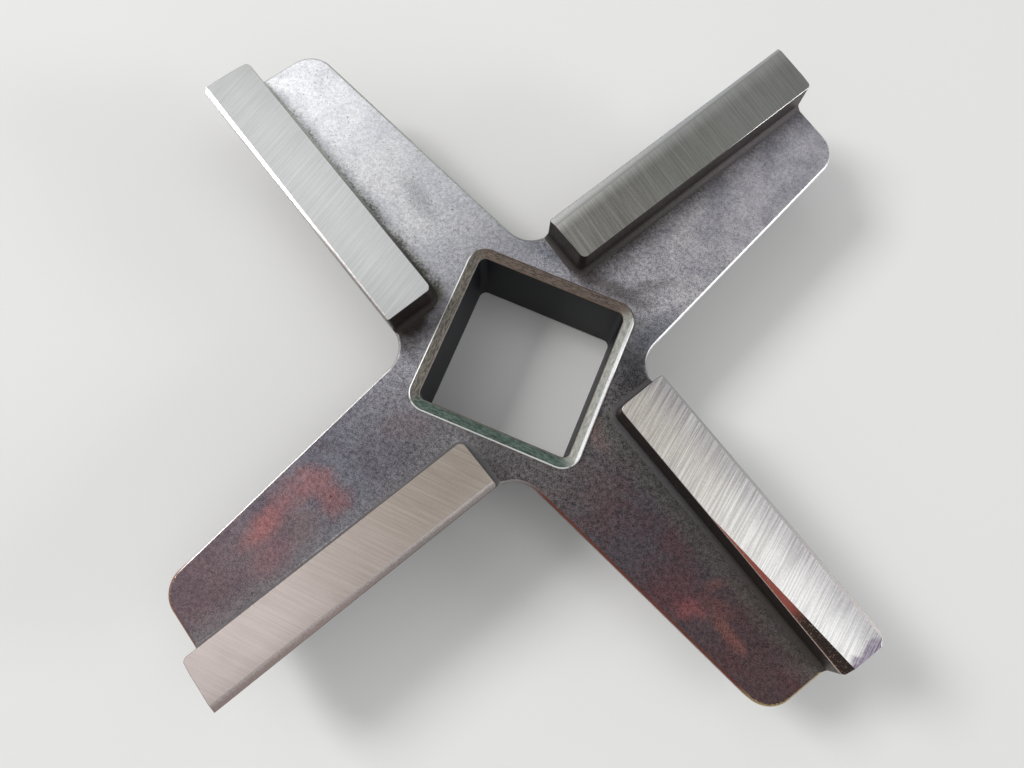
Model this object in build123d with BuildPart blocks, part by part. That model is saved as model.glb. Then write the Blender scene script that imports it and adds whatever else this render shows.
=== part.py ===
"""Meat grinder knife: one casting with four arms round a square collar.

Each arm is a flat web with a raised cutting bar along its leading side. The bars
are ground to one plane, which runs against the grinder's hole plate, and the
collar slides on the square end of the worm.

Lengths are in millimetres and angles in degrees. +Z is up, towards the cutting
faces. The origin is on the axis of the bore, at the foot of the collar, and X and
Y are square to the bore. An arm is drawn along +X, where +Y is the side that it
leads with, and is then turned to its place.
"""

import os
from math import atan2, cos, degrees, radians, tan

from build123d import *

os.makedirs("parts", exist_ok=True)

# Bore and collar
bore_side = 10.0
bore_corner_radius = 0.5
collar_wall = 0.75
collar_edge_radius = 0.1
collar_foot_chamfer = 0.2
collar_web_fillet = 0.8

# Heights
knife_height = 8.9
bar_rise = 2.2
rim_rise = 0.2
web_thickness = 1.5

# Arms, measured on the plane of the ground faces
arm_count = 4
first_arm_angle = 61.5
draft_angle = 3.0
lead_offset = 5.5
web_setback = 0.19
web_tail_offset = 5.6
web_tail_taper = 7.0
web_corner_radius = 2.0
web_edge_radius = 0.2
root_radius = 1.8

# Small round notches in the roots behind the first two arms
notched_arms = (0, 1)
notch_radius = 0.7
notch_centre = (6.25, -5.85)

# Cutting bars
bar_width = 3.4
bar_start = 6.45
bar_reach = 26.0
bar_end_slant = 6.0
bar_corner_radius = 0.5
bar_foot_fillet = 0.4

# Cut across the outer tip of each bar
tip_cuts = (0, 0.45, 0, 0.75)

# Strips along the cutting edges that the grinding missed: for each arm, the strip's
# width at the bar's inner end and at its outer end
strip_widths = ((0.65, 0.3), (0.18, 0.3), (0.4, 0.5), (0.12, 0.27))
strip_slope = 20.0

# One bar stands low along its trailing side, and is unground there too. The width
# below nothing at its inner end starts the low side further out.
low_arm = 3
low_side_widths = (-0.55, 0.8)
low_side_slope = 14.0

# Places and sizes that follow from those
arm_step = 360 / arm_count
collar_side = bore_side + 2 * collar_wall
collar_corner_radius = bore_corner_radius + collar_wall
web_top = knife_height - bar_rise
web_bottom = web_top - web_thickness
rim_height = web_top + rim_rise
web_reach = bar_reach - web_setback
trail_offset = lead_offset - bar_width
bar_lead_reach = bar_reach + bar_width * tan(radians(bar_end_slant))
bar_end_margin = 0.3 * bar_corner_radius
bar_foot_spread = bar_rise * tan(radians(draft_angle))
bar_foot_start = bar_start - bar_foot_spread
bar_foot_trail = trail_offset - bar_foot_spread
web_tail_start = -web_tail_offset / cos(radians(web_tail_taper))
web_tail_end = web_tail_start + web_reach * tan(radians(web_tail_taper))


def from_axis(corner: Vertex) -> float:
    """Gives a corner's distance from the axis, to group the corners that repeat on each arm."""
    return round(Vector(corner.X, corner.Y).length, 3)


def arm_at(corner: Vertex) -> int:
    """Gives the number of the arm that a corner stands on."""
    turn = degrees(atan2(corner.Y, corner.X)) - first_arm_angle
    return round(turn / arm_step) % arm_count


def on_ground(edge: Edge) -> Vector:
    """Gives the point of the ground plane that stands above an edge's middle."""
    return Vector((edge @ 0.5).X, (edge @ 0.5).Y, knife_height)


def unground_plane(arm: int, inner_y: float, outer_y: float, slope: float) -> Plane:
    """Gives the plane of a surface that the grinding missed on one arm's bar.

    It leaves the ground plane along a line from the bar's inner end to its outer
    end, and falls away from it, to the leading side with a slope above nothing and
    to the trailing side with one below nothing. Its own X runs along that line.
    """
    start = Vector(bar_start, inner_y, knife_height)
    along = Vector(bar_lead_reach, outer_y, knife_height) - start
    level = Plane(origin=start, x_dir=along, z_dir=(0, 0, 1))
    turn = Rotation(0, 0, first_arm_angle + arm * arm_step)
    return Plane(turn * level.location * Rotation(-slope, 0, 0))


with BuildPart() as knife:
    # All four arms to their full depth, drawn in towards the back by the draft
    with BuildSketch(Plane.XY.offset(knife_height)) as arms:
        with PolarLocations(0, arm_count, start_angle=first_arm_angle):
            Polygon(
                (0, web_tail_start),
                (web_reach, web_tail_end),
                (bar_reach, trail_offset),
                (bar_lead_reach, lead_offset),
                (0, lead_offset),
                align=None,
            )
        fillet(arms.vertices().group_by(from_axis)[1], radius=web_corner_radius)
        fillet(arms.vertices().group_by(from_axis)[0], radius=root_radius)
        for arm, tip_cut in enumerate(tip_cuts):
            tips = arms.vertices().group_by(from_axis)[-1]
            if tip_cut > 0:
                chamfer([tip for tip in tips if arm_at(tip) == arm], length=tip_cut)
    extrude(amount=web_bottom - knife_height, taper=draft_angle)

    # Space round the bars, down to the webs
    with BuildSketch(Plane.XY.offset(web_top)) as around_bars:
        Circle(radius=2 * bar_reach)
        with PolarLocations(0, arm_count, start_angle=first_arm_angle):
            Polygon(
                (bar_foot_start, bar_foot_trail),
                (bar_reach + bar_end_margin, bar_foot_trail),
                (bar_lead_reach + bar_end_margin, lead_offset + bar_width),
                (bar_foot_start, lead_offset + bar_width),
                align=None,
                mode=Mode.SUBTRACT,
            )
        corners = around_bars.vertices().group_by(from_axis)
        fillet(corners[0] + corners[2], radius=bar_corner_radius)
    extrude(amount=2 * bar_rise, taper=-draft_angle, mode=Mode.SUBTRACT)

    # Collar, from its foot to the rim that stands above the webs
    with BuildSketch() as collar_plan:
        RectangleRounded(collar_side, collar_side, collar_corner_radius)
    extrude(amount=rim_height)

    # Cast radii along the feet of the bars, and round the collar under the webs
    foot_arcs = knife.edges().filter_by_position(Axis.Z, web_top, web_top).filter_by(GeomType.CIRCLE)
    fillet(foot_arcs.group_by(SortBy.RADIUS)[0], radius=bar_foot_fillet)
    under_arcs = knife.edges().filter_by_position(Axis.Z, web_bottom, web_bottom).filter_by(GeomType.CIRCLE)
    fillet(under_arcs.group_by(SortBy.RADIUS)[0], radius=collar_web_fillet)

    # Rounded edges along the outline of the webs, on both sides
    outline = arms.sketch.face().outer_wire()
    web_faces = knife.faces().filter_by(Axis.Z).sort_by(SortBy.AREA)[-2:]
    web_edges = [edge for face in web_faces for edge in face.outer_wire().edges()]
    fillet(
        [edge for edge in web_edges if outline.distance_to(on_ground(edge)) < web_edge_radius],
        radius=web_edge_radius,
    )

    # Notches in two of the roots
    with BuildSketch(Plane.XY.offset(web_bottom)) as notches:
        for arm in notched_arms:
            with PolarLocations(0, 1, start_angle=first_arm_angle + arm * arm_step):
                with Locations(notch_centre):
                    Circle(radius=notch_radius)
    extrude(amount=2 * web_thickness, mode=Mode.SUBTRACT)

    # Bore, square with rounded corners, straight through
    with BuildSketch() as bore:
        RectangleRounded(bore_side, bore_side, bore_corner_radius)
    extrude(amount=knife_height, mode=Mode.SUBTRACT)

    # Edges of the collar, rounded at its rim and chamfered at its foot
    fillet(knife.edges().filter_by_position(Axis.Z, rim_height, rim_height), radius=collar_edge_radius)
    chamfer(knife.edges().filter_by_position(Axis.Z, 0, 0), length=collar_foot_chamfer)

    # Strips along the cutting edges
    for arm, (inner_width, outer_width) in enumerate(strip_widths):
        strip = unground_plane(arm, lead_offset - inner_width, lead_offset - outer_width, strip_slope)
        with BuildSketch(strip) as above_strip:
            with Locations((-bar_start, 0)):
                Rectangle(2 * bar_lead_reach, lead_offset, align=(Align.MIN, Align.MIN))
        extrude(amount=bar_rise, mode=Mode.SUBTRACT)

    # Low trailing side of one bar
    inner_width, outer_width = low_side_widths
    low_side = unground_plane(
        low_arm, trail_offset + inner_width, trail_offset + outer_width, -low_side_slope
    )
    with BuildSketch(low_side) as above_low_side:
        with Locations((-bar_start, 0)):
            Rectangle(2 * bar_lead_reach, lead_offset, align=(Align.MIN, Align.MAX))
    extrude(amount=bar_rise, mode=Mode.SUBTRACT)

knife.part.label = "knife"
export_step(knife.part, "parts/knife.step")
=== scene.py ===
"""Meat grinder knife: dresses the casting and sets up its floor, lamps and camera.

The knife is one steel casting with four arms round a square collar. Its webs and
sides are left as cast, grainy and tinted by heat, and the tops of its cutting bars
are ground bright. Lengths are written in millimetres and turned into Blender's
metres where an object is made. The part's frame has its origin on the axis of the
bore, at the foot of the collar, with +Z towards the ground faces.
"""

from __future__ import annotations

import logging
import math
from dataclasses import dataclass, field
from enum import Enum

import bmesh
import bpy
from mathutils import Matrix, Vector


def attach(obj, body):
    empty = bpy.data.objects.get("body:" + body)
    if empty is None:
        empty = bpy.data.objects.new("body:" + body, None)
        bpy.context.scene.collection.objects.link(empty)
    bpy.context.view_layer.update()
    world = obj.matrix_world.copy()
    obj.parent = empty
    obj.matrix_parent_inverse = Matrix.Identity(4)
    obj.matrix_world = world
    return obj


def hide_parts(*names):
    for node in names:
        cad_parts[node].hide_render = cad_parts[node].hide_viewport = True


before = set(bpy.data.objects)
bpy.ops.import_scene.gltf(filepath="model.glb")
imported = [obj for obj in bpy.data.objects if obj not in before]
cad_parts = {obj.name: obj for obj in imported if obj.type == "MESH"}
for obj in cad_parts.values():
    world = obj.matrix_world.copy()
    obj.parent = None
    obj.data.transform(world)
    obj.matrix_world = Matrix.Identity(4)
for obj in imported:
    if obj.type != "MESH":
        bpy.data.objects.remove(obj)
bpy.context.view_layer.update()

MM = 0.001
LOG = logging.getLogger("knife")

Colour = tuple[float, float, float]
Point = tuple[float, float, float]
Pair = tuple[float, float]
Socket = bpy.types.NodeSocket
Node = bpy.types.Node
Tree = bpy.types.NodeTree
Material = bpy.types.Material

BLACK: Colour = (0.0, 0.0, 0.0)
WHITE: Colour = (1.0, 1.0, 1.0)
PIT: Colour = (0.01, 0.01, 0.01)

# Where a noise's dark grains end and its light ones start
GRAINS: Pair = (0.38, 0.62)


def shade(red: float, green: float, blue: float) -> Colour:
    """Turns a colour as a screen shows it, each part from 0 to 255, into a linear one."""
    parts = (value / 255 for value in (red, green, blue))
    return tuple(v / 12.92 if v <= 0.04045 else ((v + 0.055) / 1.055) ** 2.4 for v in parts)


class Finish(Enum):
    """The kinds of surface on the casting. The value is the material's name."""

    CAST = "cast_skin"
    WEB_EDGE = "web_edge"
    BAR_SIDE = "bar_side"
    LEAD_SIDE = "leading_side"
    FOOT = "bar_foot"
    RIM = "rim_top"
    RIM_EDGE = "rim_edge"
    BORE = "bore_wall"
    CORNER = "bright_corner"
    GROUND = "ground_face"
    STRIP = "edge_strip"
    LOW_SIDE = "low_side"


class Graph:
    """Adds and links the nodes of one material or node group."""

    def __init__(self, tree: Tree) -> None:
        """Starts on a tree.

        Args:
            tree: the node tree to fill.
        """
        self.tree = tree

    def add(self, kind: str, **settings: object) -> Node:
        """Adds a node.

        Args:
            kind: the node's type, such as "ShaderNodeMath".
            settings: its properties by name.

        Returns:
            The new node.
        """
        node = self.tree.nodes.new(kind)
        for name, value in settings.items():
            setattr(node, name, value)
        return node

    def feed(self, socket: Socket, value: object) -> None:
        """Links a socket to another node's output, or sets its plain value.

        Args:
            socket: the input socket.
            value: an output socket, a number, a colour or a vector.
        """
        if isinstance(value, Socket):
            self.tree.links.new(value, socket)
        elif socket.type == "RGBA" and len(value) == 3:
            socket.default_value = (*value, 1.0)
        else:
            socket.default_value = value

    def sum(self, operation: str, first: object, second: object = 0.0, third: object = 0.0) -> Socket:
        """Does one sum with a Math node.

        Args:
            operation: the node's operation.
            first: its first number or socket.
            second: its second.
            third: its third.

        Returns:
            The result's socket.
        """
        node = self.add("ShaderNodeMath", operation=operation)
        for socket, value in zip(node.inputs, (first, second, third)):
            self.feed(socket, value)
        return node.outputs[0]

    def noise(self, place: Socket, per_mm: float | Point, detail: float = 2.0,
              rough: float = 0.5, warp: float = 0.0) -> Socket:
        """Adds a noise whose size is given in millimetres.

        Args:
            place: the place on the casting, in metres.
            per_mm: how many times it changes in a millimetre, in all directions or along X, Y and Z.
            detail: how many finer octaves it has.
            rough: how strong they are.
            warp: how much it twists.

        Returns:
            The noise's value, from 0 to 1.
        """
        scale = 1.0
        if isinstance(per_mm, tuple):
            place = self.mapped(place, scale=tuple(value / MM for value in per_mm))
        else:
            scale = per_mm / MM
        node = self.add("ShaderNodeTexNoise", noise_dimensions="3D")
        values = {"Vector": place, "Scale": scale, "Detail": detail, "Roughness": rough, "Distortion": warp}
        for name, value in values.items():
            self.feed(node.inputs[name], value)
        return node.outputs["Fac"]

    def span(self, value: object, low: float, high: float, to_low: float = 0.0,
             to_high: float = 1.0, unit: float = 1.0) -> Socket:
        """Maps a range of values to another, smoothly and with its ends held.

        Args:
            value: the value or socket.
            low: where the range starts.
            high: where it ends.
            to_low: the result at its start.
            to_high: the result at its end.
            unit: the unit of low and high, in that of the value.

        Returns:
            The result's socket.
        """
        node = self.add("ShaderNodeMapRange", interpolation_type="SMOOTHSTEP")
        names = ("Value", "From Min", "From Max", "To Min", "To Max")
        for name, number in zip(names, (value, low * unit, high * unit, to_low, to_high)):
            self.feed(node.inputs[name], number)
        return node.outputs["Result"]

    def mix(self, factor: object, first: object, second: object, blend: str = "MIX") -> Socket:
        """Mixes two colours.

        Args:
            factor: how much of the second shows.
            first: the first colour.
            second: the second colour.
            blend: how they mix.

        Returns:
            The mixed colour's socket.
        """
        node = self.add("ShaderNodeMix", data_type="RGBA", blend_type=blend)
        colours = [socket for socket in node.inputs if socket.type == "RGBA"]
        self.feed(node.inputs[0], factor)
        self.feed(colours[0], first)
        self.feed(colours[1], second)
        return next(socket for socket in node.outputs if socket.type == "RGBA")

    def grained(self, colour: object, light: Socket, share: object) -> Socket:
        """Darkens a colour where its grains are dark.

        Args:
            colour: the colour.
            light: the mask of its light grains.
            share: how much darker the others are.

        Returns:
            The grained colour's socket.
        """
        return self.mix(light, self.mix(share, colour, BLACK), colour)

    def mapped(self, place: Socket, turn: float = 0.0, scale: Point = (1.0, 1.0, 1.0)) -> Socket:
        """Stretches a place, and turns it about Z.

        Args:
            place: the place on the casting, in metres.
            turn: how far it turns, in degrees.
            scale: how much it stretches along X, Y and Z.

        Returns:
            The new place's socket.
        """
        node = self.add("ShaderNodeMapping", vector_type="POINT")
        self.feed(node.inputs["Vector"], place)
        node.inputs["Rotation"].default_value = (0.0, 0.0, math.radians(turn))
        node.inputs["Scale"].default_value = scale
        return node.outputs[0]

    def axes(self, place: Socket) -> list[Socket]:
        """Splits a place into its X, Y and Z."""
        node = self.add("ShaderNodeSeparateXYZ")
        self.feed(node.inputs[0], place)
        return list(node.outputs)

    def towards(self, place: Socket, way: Point) -> Socket:
        """Finds how far a place lies in a direction.

        Args:
            place: the place.
            way: the direction, with a length of 1.

        Returns:
            The distance's socket.
        """
        node = self.add("ShaderNodeVectorMath", operation="DOT_PRODUCT")
        self.feed(node.inputs[0], place)
        node.inputs[1].default_value = way
        return node.outputs["Value"]

    def group(self, tree: Tree, **inputs: object) -> Node:
        """Places a node group.

        Args:
            tree: the group.
            inputs: its inputs' values or sockets, with _ for a space in a name.

        Returns:
            The group's node.
        """
        node = self.add("ShaderNodeGroup", node_tree=tree)
        for name, value in inputs.items():
            self.feed(node.inputs[name.replace("_", " ")], value)
        return node


@dataclass(frozen=True)
class StainAndShade:
    """A soft oval of colour on the webs: rust, tint and mottling, one painted shadow, and a few plain darker
    and lighter patches.

    Attributes:
        centre: its middle, in millimetres.
        size: its half length and half width, in millimetres.
        turn: its direction from +X, in degrees.
        colour: its colour.
        strength: how much of it shows.
        fade: where its edge starts and ends to fade, as shares of its size.
    """

    centre: Pair
    size: Pair
    turn: float
    colour: Colour
    strength: float
    fade: Pair = (0.7, 1.6)

    def mask(self, graph: Graph, place: Socket) -> Socket:
        """Makes the stain's mask, soft and uneven at its edge.

        Args:
            graph: the material's graph.
            place: the place on the casting.

        Returns:
            The mask's socket.
        """
        oval = graph.add("ShaderNodeMapping", vector_type="TEXTURE")
        graph.feed(oval.inputs["Vector"], place)
        oval.inputs["Location"].default_value = (self.centre[0] * MM, self.centre[1] * MM, 0.0)
        oval.inputs["Rotation"].default_value = (0.0, 0.0, math.radians(self.turn))
        oval.inputs["Scale"].default_value = (self.size[0] * MM, self.size[1] * MM, 1.0)
        reach = graph.add("ShaderNodeVectorMath", operation="LENGTH")
        graph.feed(reach.inputs[0], oval.outputs[0])
        wobble = graph.noise(place, per_mm=0.7, detail=4.0, rough=0.6)
        ragged = graph.sum("ADD", wobble, reach.outputs["Value"])
        return graph.sum("MULTIPLY", graph.span(ragged, *self.fade, to_low=1.0, to_high=0.0), self.strength)


@dataclass(frozen=True)
class ArmLook:
    """How one arm looks, with the light and shade that the arm catches painted into its colours.

    Attributes:
        turn: the arm's direction from +X, in degrees.
        web_middle: the web's colour halfway along the arm, lighter or darker from arm to arm as painted
            light and shade.
        web_outer: its colour at the outer end.
        tint: the colour of the web's slow blotches.
        tint_strength: how much of them shows.
        grain: how strong the web's light and dark grains are.
        foot: the colour of the painted shade along the foot of the bar.
        foot_width: how wide that band is, in millimetres.
        foot_soft: how far it fades out to each side, in millimetres.
        foot_strength: how much of it shows.
        foot_taper: how much narrower it gets in each millimetre outwards.
        edge: the colour of the web's trailing edge: a painted highlight where it is light, a heat tint where
            it is red.
        edge_outer: its colour round the outer end.
        ground: the colour of the ground face, partly a painted reflection of what the arm mirrors.
        ground_inner: its colour near the hub.
        ground_lead: its colour along the leading side.
        lead_strength: how much of that shows.
        lead_start: where that starts, in millimetres across the arm.
        line_turn: how far its grinding lines lean from square to the bar, in degrees.
        contrast: how much the lines differ.
        strip: the colour of the strip along the cutting edge, partly a painted reflection.
        strip_inner: its colour towards the hub.
        strip_foot: its colour where it meets the ground face.
        corner: the colour of the bar's worn corners, lighter or darker from arm to arm as painted highlight.
        corner_outer: their colour towards the outer end.
        strip_widths: how wide the strip is at its inner and at its outer end, in millimetres.
    """

    turn: float
    web_middle: Colour
    web_outer: Colour
    tint: Colour
    tint_strength: float
    grain: float
    foot: Colour
    foot_width: float
    foot_soft: float
    foot_strength: float
    foot_taper: float
    edge: Colour
    edge_outer: Colour
    ground: Colour
    ground_inner: Colour
    ground_lead: Colour
    lead_strength: float
    lead_start: float
    line_turn: float
    contrast: float
    strip: Colour
    strip_inner: Colour
    strip_foot: Colour
    corner: Colour
    corner_outer: Colour
    strip_widths: Pair


# Each arm's colours carry painted light: the same steel is made lighter or darker, arm by arm, for the light
# and reflections that arm catches.
ARMS = (
    ArmLook(
        turn=61.5, web_middle=shade(180, 177, 181), web_outer=shade(187, 185, 192),
        tint=shade(118, 120, 131), tint_strength=0.5, grain=1.45,
        foot=shade(52, 40, 36), foot_width=0.75, foot_soft=1.0, foot_strength=0.95, foot_taper=0.02,
        edge=shade(255, 255, 255), edge_outer=shade(255, 255, 255),
        ground=shade(202, 204, 198), ground_inner=shade(148, 146, 140),
        ground_lead=shade(245, 245, 242), lead_strength=0.9, lead_start=4.1,
        line_turn=-5.0, contrast=0.14,
        strip=shade(240, 243, 245), strip_inner=shade(240, 240, 240), strip_foot=shade(186, 186, 182),
        corner=shade(70, 62, 58), corner_outer=shade(210, 208, 204), strip_widths=(0.65, 0.3),
    ),
    ArmLook(
        turn=151.5, web_middle=shade(200, 200, 203), web_outer=shade(235, 236, 239),
        tint=shade(150, 156, 168), tint_strength=0.28, grain=0.9,
        foot=shade(74, 74, 58), foot_width=0.55, foot_soft=0.4, foot_strength=0.95, foot_taper=0.028,
        edge=shade(220, 228, 220), edge_outer=shade(240, 240, 238),
        ground=shade(177, 178, 178), ground_inner=shade(184, 185, 185),
        ground_lead=shade(160, 160, 160), lead_strength=0.4, lead_start=3.6,
        line_turn=15.0, contrast=0.065,
        strip=shade(255, 254, 250), strip_inner=shade(140, 134, 132), strip_foot=shade(250, 248, 244),
        corner=shade(150, 150, 148), corner_outer=shade(190, 190, 190), strip_widths=(0.18, 0.3),
    ),
    ArmLook(
        turn=241.5, web_middle=shade(106, 106, 114), web_outer=shade(107, 91, 95),
        tint=shade(84, 72, 82), tint_strength=0.5, grain=1.5,
        foot=shade(132, 130, 132), foot_width=0.9, foot_soft=0.9, foot_strength=0.5, foot_taper=0.0,
        edge=shade(244, 242, 240), edge_outer=shade(168, 128, 104),
        ground=shade(232, 218, 214), ground_inner=shade(160, 149, 138),
        ground_lead=shade(180, 168, 160), lead_strength=0.4, lead_start=4.0,
        line_turn=26.0, contrast=0.07,
        strip=shade(180, 162, 158), strip_inner=shade(158, 150, 146), strip_foot=shade(214, 204, 202),
        corner=shade(120, 110, 104), corner_outer=shade(150, 140, 134), strip_widths=(0.4, 0.5),
    ),
    ArmLook(
        turn=331.5, web_middle=shade(74, 68, 73), web_outer=shade(78, 62, 64),
        tint=shade(86, 54, 55), tint_strength=0.5, grain=2.0,
        foot=shade(84, 82, 79), foot_width=1.2, foot_soft=0.7, foot_strength=0.75, foot_taper=0.0,
        edge=shade(130, 78, 66), edge_outer=shade(200, 176, 130),
        ground=shade(228, 227, 226), ground_inner=shade(184, 178, 170),
        ground_lead=shade(150, 146, 150), lead_strength=0.7, lead_start=3.2,
        line_turn=20.0, contrast=0.22,
        strip=shade(240, 232, 230), strip_inner=shade(226, 228, 234), strip_foot=shade(232, 226, 224),
        corner=shade(200, 198, 194), corner_outer=shade(226, 224, 220), strip_widths=(0.12, 0.27),
    ),
)

# The arm whose bar is low along its trailing side
LOW_ARM = 3


@dataclass(frozen=True)
class Sockets:
    """The sockets of a node group, by name.

    Attributes:
        tree: the group.
        graph: the graph that fills it.
        given: the sockets inside it that give its inputs.
        made: the sockets inside it that take its outputs.
    """

    tree: Tree
    graph: Graph
    given: dict[str, Socket]
    made: dict[str, Socket]


def new_group(name: str, inputs: dict[str, str], outputs: dict[str, str]) -> Sockets:
    """Makes an empty shader node group.

    Args:
        name: the group's name.
        inputs: each input's name and socket type.
        outputs: each output's name and socket type.

    Returns:
        The group with its inner sockets.
    """
    tree = bpy.data.node_groups.new(name, "ShaderNodeTree")
    for label, kind in inputs.items():
        tree.interface.new_socket(name=label, in_out="INPUT", socket_type=kind)
    for label, kind in outputs.items():
        tree.interface.new_socket(name=label, in_out="OUTPUT", socket_type=kind)
    graph = Graph(tree)
    start = graph.add("NodeGroupInput")
    end = graph.add("NodeGroupOutput")
    given = {label: start.outputs[label] for label in inputs}
    made = {label: end.inputs[label] for label in outputs}
    return Sockets(tree, graph, given, made)


SCALAR = "NodeSocketFloat"
VECTOR = "NodeSocketVector"


def arm_frame_group() -> Tree:
    """Makes the group that finds which arm a place belongs to, and where it lies on it.

    Returns:
        The group. Along is the distance from the axis along the arm and Across the one
        towards its leading side, both in millimetres, and Arm 0 to Arm 3 are masks.
    """
    outputs = {"Along": SCALAR, "Across": SCALAR} | {f"Arm {k}": SCALAR for k in range(len(ARMS))}
    box = new_group("arm_frame", {"Place": VECTOR}, outputs)
    graph = box.graph
    turned = graph.mapped(box.given["Place"], -ARMS[0].turn, (1 / MM, 1 / MM, 1 / MM))
    x, y, _ = graph.axes(turned)
    back_x, back_y = graph.sum("MULTIPLY", x, -1.0), graph.sum("MULTIPLY", y, -1.0)
    along: object = 0.0
    across: object = 0.0
    for number, (out, side) in enumerate(((x, y), (y, back_x), (back_x, back_y), (back_y, x))):
        mask = graph.sum("GREATER_THAN", out, graph.sum("ABSOLUTE", side))
        graph.feed(box.made[f"Arm {number}"], mask)
        along = graph.sum("MULTIPLY_ADD", mask, out, along)
        across = graph.sum("MULTIPLY_ADD", mask, side, across)
    graph.feed(box.made["Along"], along)
    graph.feed(box.made["Across"], across)
    return box.tree


def grain_group() -> Tree:
    """Makes the group for the grain that the mould leaves on cast steel.

    Returns:
        The group. Height is the grain's relief, Speckle its light and dark grains,
        Pits its sparse dark specks, and Cloud its slow changes from place to place.
    """
    outputs = {"Height": SCALAR, "Speckle": SCALAR, "Pits": SCALAR, "Cloud": SCALAR}
    box = new_group("cast_grain", {"Place": VECTOR}, outputs)
    graph, place = box.graph, box.given["Place"]
    fine = graph.noise(place, per_mm=14.0, detail=2.0, rough=0.6)
    coarse = graph.noise(place, per_mm=4.0, detail=4.0, rough=0.7)
    cloud = graph.noise(place, per_mm=0.42, detail=5.0, rough=0.62, warp=0.5)
    both = graph.sum("MULTIPLY_ADD", fine, 0.55, graph.sum("MULTIPLY", coarse, 0.45))
    graph.feed(box.made["Height"], both)
    graph.feed(box.made["Speckle"], graph.span(both, 0.36, 0.64))
    graph.feed(box.made["Pits"], graph.span(graph.noise(place, per_mm=5.5, detail=2.0), 0.66, 0.74))
    graph.feed(box.made["Cloud"], graph.span(cloud, 0.4, 0.66))
    return box.tree


def lines_group() -> Tree:
    """Makes the group for grinding lines, which run along Y of the place it is given.

    Returns:
        The group. Height is their relief, Lines their light and dark, and Scratch the
        few bright ones.
    """
    outputs = {"Height": SCALAR, "Lines": SCALAR, "Scratch": SCALAR}
    box = new_group("grinding_lines", {"Place": VECTOR}, outputs)
    graph, place = box.graph, box.given["Place"]
    fine = graph.noise(place, per_mm=(11.0, 0.24, 0.24), detail=2.0, rough=0.6)
    broad = graph.noise(place, per_mm=(5.0, 0.14, 0.14), detail=2.0, rough=0.6)
    grain = graph.noise(place, per_mm=8.0, detail=2.0, rough=0.7)
    both = graph.sum("MULTIPLY_ADD", fine, 0.6, graph.sum("MULTIPLY", broad, 0.2))
    both = graph.sum("MULTIPLY_ADD", grain, 0.2, both)
    scratch = graph.noise(place, per_mm=(8.0, 0.16, 0.16), detail=1.0)
    graph.feed(box.made["Height"], both)
    graph.feed(box.made["Lines"], graph.span(both, 0.4, 0.6))
    graph.feed(box.made["Scratch"], graph.span(scratch, 0.64, 0.74))
    return box.tree


@dataclass(frozen=True)
class Surface:
    """A material while it is made.

    Attributes:
        material: the material.
        graph: its graph.
        shader: its Principled shader.
        place: the place on the casting.
    """

    material: Material
    graph: Graph
    shader: Node
    place: Socket

    def dress(self, colour: Socket, height: Socket, metallic: float, roughness: object,
              depth: float, strength: float = 0.5) -> Material:
        """Gives the surface its colour, gloss and relief.

        Args:
            colour: its colour.
            height: the relief's height, from 0 to 1.
            metallic: how much of a metal it is.
            roughness: how dull it is, as a number or a socket.
            depth: how deep the relief is, in millimetres.
            strength: how strongly it shows.

        Returns:
            The material.
        """
        bump = self.graph.add("ShaderNodeBump")
        bump.inputs["Strength"].default_value = strength
        bump.inputs["Distance"].default_value = depth * MM
        self.graph.feed(bump.inputs["Height"], height)
        self.shader.inputs["Metallic"].default_value = metallic
        self.graph.feed(self.shader.inputs["Base Color"], colour)
        self.graph.feed(self.shader.inputs["Roughness"], roughness)
        self.graph.feed(self.shader.inputs["Normal"], bump.outputs["Normal"])
        return self.material


def new_surface(name: str) -> Surface:
    """Starts a material.

    Args:
        name: the material's name.

    Returns:
        The surface, with an empty graph round its shader.
    """
    material = bpy.data.materials.new(name)
    material.use_nodes = True
    material.node_tree.nodes.clear()
    graph = Graph(material.node_tree)
    shader = graph.add("ShaderNodeBsdfPrincipled")
    output = graph.add("ShaderNodeOutputMaterial")
    graph.feed(output.inputs["Surface"], shader.outputs["BSDF"])
    place = graph.add("ShaderNodeTexCoord").outputs["Object"]
    return Surface(material, graph, shader, place)


@dataclass(frozen=True)
class Groups:
    """The node groups that the finishes share.

    Attributes:
        grain: the grain of cast steel.
        lines: the grinding lines.
        arm_frame: the one that finds the arm.
    """

    grain: Tree = field(default_factory=grain_group)
    lines: Tree = field(default_factory=lines_group)
    arm_frame: Tree = field(default_factory=arm_frame_group)


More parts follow.
